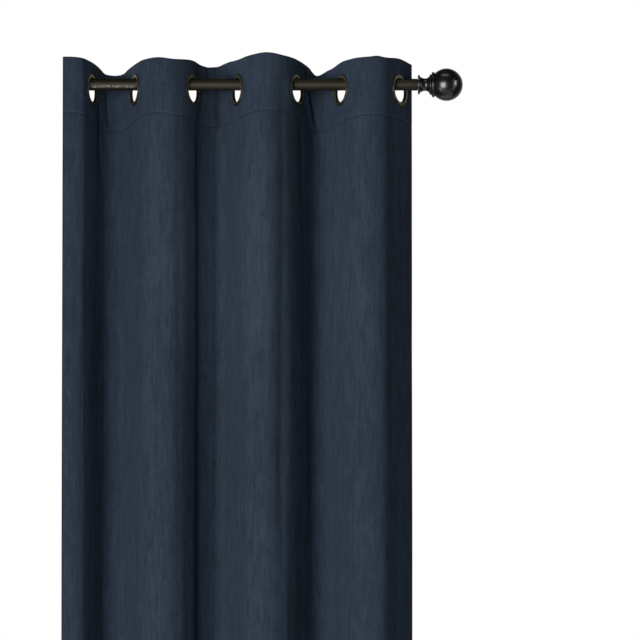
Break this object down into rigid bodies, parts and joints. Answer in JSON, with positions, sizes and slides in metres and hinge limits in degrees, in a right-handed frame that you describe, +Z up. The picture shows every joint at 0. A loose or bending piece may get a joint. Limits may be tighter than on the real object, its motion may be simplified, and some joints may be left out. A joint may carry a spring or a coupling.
{
  "type": "eyelet curtain on a rod",
  "caption": "Full-length suede-look curtain panel hanging in deep round folds from metal eyelets on a thin round rod with a turned ball finial.",
  "frame": {"origin": "on the rod's axis, at the middle of the hanging curtain's width", "axes": "+X along the rod towards the finial, -Y towards the room, +Z up"},
  "size_m": [0.6395, 0.1246, 2.1534],
  "materials": {
    "suede": "brushed faux suede, matt with a short pile",
    "eyelet_metal": "antique bronze plating, satin",
    "rod_metal": "dark bronze lacquer, satin",
    "finial_enamel": "gloss black enamel"
  },
  "bodies": {
    "root": {"panel": "suede", "heading": "suede", "eyelet_1_front": "eyelet_metal", "eyelet_1_back": "eyelet_metal", "eyelet_2_front": "eyelet_metal", "eyelet_2_back": "eyelet_metal", "eyelet_3_front": "eyelet_metal", "eyelet_3_back": "eyelet_metal", "eyelet_4_front": "eyelet_metal", "eyelet_4_back": "eyelet_metal", "eyelet_5_front": "eyelet_metal", "eyelet_5_back": "eyelet_metal", "eyelet_6_front": "eyelet_metal", "eyelet_6_back": "eyelet_metal", "eyelet_7_front": "eyelet_metal", "eyelet_7_back": "eyelet_metal", "rod": "rod_metal", "finial": "finial_enamel"}
  },
  "joints": []
}
